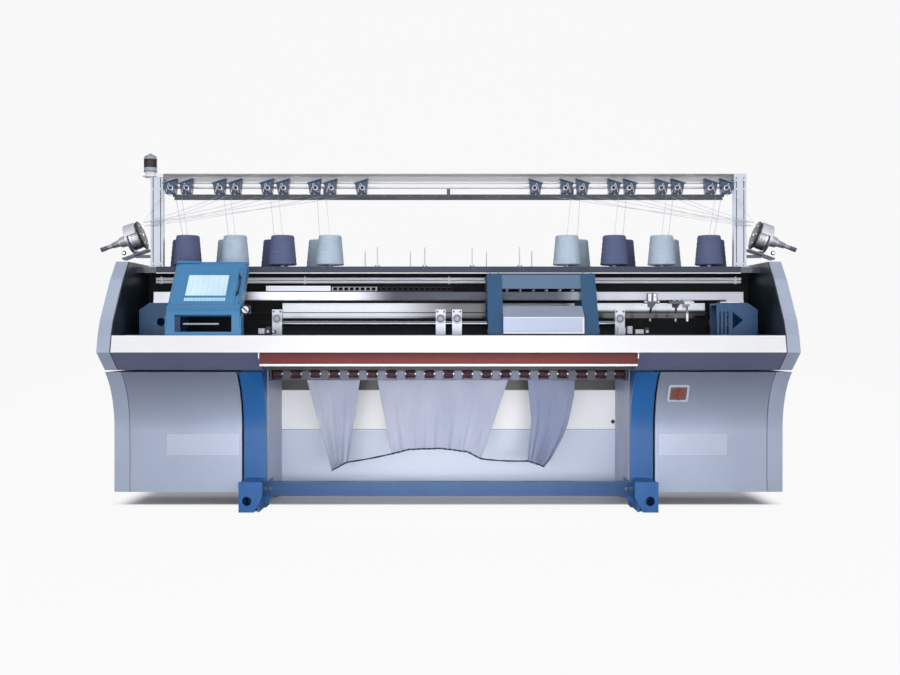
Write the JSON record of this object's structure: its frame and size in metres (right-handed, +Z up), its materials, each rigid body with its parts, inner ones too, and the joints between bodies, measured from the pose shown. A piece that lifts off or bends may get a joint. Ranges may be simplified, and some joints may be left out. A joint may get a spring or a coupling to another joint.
{
  "type": "flat knitting machine",
  "caption": "Long flat-bed knitting machine with a travelling carriage, hooded bed, yarn table with cones, thread rack, control console and knitted pieces hanging from the take-down.",
  "frame": {"origin": "on the floor under the middle of the whole machine", "axes": "+X along the bed to the right seen from the front, -Y to the front where the operator stands, +Z up"},
  "size_m": [4.1428, 1.06, 2.064],
  "materials": {
    "blue_frame": "hammered blue enamel on welded steel",
    "bright_steel": "ground and plated steel",
    "dark_frame": "black satin paint",
    "white_cover": "white satin powder coat",
    "slate_cover": "slate blue satin powder coat",
    "silver_cover": "pale silver-blue satin powder coat",
    "light_blue_cover": "light blue satin paint",
    "maroon_cover": "dark red satin paint",
    "cast_frame": "light grey enamel on die castings",
    "circuit_box": "plain folded sheet",
    "black_plastic": "moulded black",
    "dark_plastic": "tinted lamp lenses",
    "slate_plastic": "moulded slate blue",
    "pale_plastic": "moulded white",
    "orange_plastic": "moulded orange-red",
    "red_rubber": "ribbed dark red rubber on steel",
    "black_rubber": "plain black rubber",
    "knitted_fabric": "fine plain knit",
    "dark_yarn": "wound dark blue-grey yarn",
    "light_yarn": "wound pale blue yarn",
    "pale_yarn": "single yarn",
    "screen_glass": "matt display window"
  },
  "bodies": {
    "machine": {"stands": "blue_frame", "levelling_feet": "bright_steel", "lower_crossbeam": "blue_frame", "bed_girder": "dark_frame", "carriage_rails": "bright_steel", "rail_brackets": "blue_frame", "carrier_rails": "bright_steel", "front_rod": "white_cover", "front_band": "white_cover", "front_skirts": "slate_cover", "end_covers": "silver_cover", "end_liners": "dark_frame", "rear_cover": "silver_cover", "rear_inner_panel": "dark_frame", "cable_chain": "black_plastic", "cabinets": "silver_cover", "front_panels": "silver_cover", "control_electronics": "circuit_box", "main_switch_plate": "pale_plastic", "bar_brackets": "bright_steel", "take_down_housing": "bright_steel", "fabric_left_sleeve": "knitted_fabric", "fabric_body": "knitted_fabric", "fabric_right_sleeve": "knitted_fabric", "recess_panels": "white_cover", "stand_inner_covers": "slate_cover", "yarn_table": "slate_cover", "table_rails": "bright_steel", "cone_pegs": "bright_steel", "dark_cones": "dark_yarn", "light_cones": "light_yarn", "rack_posts": "bright_steel", "rack_frame": "white_cover", "guide_plate": "dark_frame", "thread_units": "slate_plastic", "yarn_strands": "pale_yarn", "signal_lamp": "dark_plastic", "feeder_mounts": "cast_frame", "console_stand": "light_blue_cover", "drive_motor": "cast_frame", "drive_belt": "black_rubber", "drive_pulleys": "bright_steel", "front_needle_bed": "bright_steel"},
    "rear_bed": {"rear_needle_bed": "bright_steel"},
    "switch_knob": {"main_switch_knob": "orange_plastic"},
    "bar": {"engaging_bar": "maroon_cover"},
    "rollers": {"take_down_roller": "red_rubber"},
    "presser": {"press_rollers": "black_rubber"},
    "left_wheel": {"left_feeder_wheel": "black_plastic"},
    "right_wheel": {"right_feeder_wheel": "black_plastic"},
    "carriage": {"carriage_arms": "blue_frame", "carriage_bridge": "light_blue_cover", "carriage_cover": "silver_cover", "cam_boxes": "bright_steel"},
    "carrier_1": {"yarn_carrier_1": "bright_steel"},
    "carrier_2": {"yarn_carrier_2": "bright_steel"},
    "carrier_3": {"yarn_carrier_3": "bright_steel"},
    "console": {"console_housing": "light_blue_cover", "console_screen": "screen_glass"},
    "knob": {"tilt_knob": "black_plastic"}
  },
  "joints": [
    {"name": "carriage_slide", "type": "slide", "parent": "machine", "child": "carriage", "axis": [1, 0, 0], "range_m": [-1.749, 0.687]},
    {"name": "rear_bed_racking", "type": "slide", "parent": "machine", "child": "rear_bed", "axis": [1, 0, 0], "range_m": [-0.0508, 0.0508]},
    {"name": "yarn_carrier_1_slide", "type": "slide", "parent": "machine", "child": "carrier_1", "axis": [1, 0, 0], "range_m": [-2.66, 0.32]},
    {"name": "yarn_carrier_2_slide", "type": "slide", "parent": "machine", "child": "carrier_2", "axis": [1, 0, 0], "range_m": [-2.81, 0.17]},
    {"name": "yarn_carrier_3_slide", "type": "slide", "parent": "machine", "child": "carrier_3", "axis": [1, 0, 0], "range_m": [-2.879, 0.101]},
    {"name": "take_down_roll", "type": "hinge", "parent": "machine", "child": "rollers", "pos_m": [0, -0.0874, 0.762], "axis": [1, 0, 0], "continuous": true},
    {"name": "press_roll", "type": "hinge", "parent": "machine", "child": "presser", "pos_m": [0, -0.0426, 0.762], "axis": [1, 0, 0], "continuous": true},
    {"name": "engaging_bar_tilt", "type": "hinge", "parent": "machine", "child": "bar", "pos_m": [0, -0.5, 0.871], "axis": [1, 0, 0], "range_deg": [-10, 10]},
    {"name": "main_switch_turn", "type": "hinge", "parent": "machine", "child": "switch_knob", "pos_m": [1.293, -0.26332, 0.66038], "axis": [0, -0.848, -0.5299], "range_deg": [0, 90]},
    {"name": "console_tilt", "type": "hinge", "parent": "machine", "child": "console", "pos_m": [-1.346, -0.381, 1.122], "axis": [1, 0, 0], "range_deg": [0, 35]},
    {"name": "tilt_knob_turn", "type": "hinge", "parent": "machine", "child": "knob", "pos_m": [-1.115, -0.4, 1.124], "axis": [0, 1, 0], "range_deg": [0, 180]},
    {"name": "left_feeder_spin", "type": "hinge", "parent": "machine", "child": "left_wheel", "pos_m": [-1.858, 0.09, 1.567], "axis": [-0.9397, 0, -0.342], "continuous": true},
    {"name": "right_feeder_spin", "type": "hinge", "parent": "machine", "child": "right_wheel", "pos_m": [1.858, 0.09, 1.567], "axis": [0.9397, 0, -0.342], "continuous": true}
  ],
  "couplings": [
    {"joint": "press_roll", "follows": "take_down_roll", "ratio": -1.6667}
  ]
}
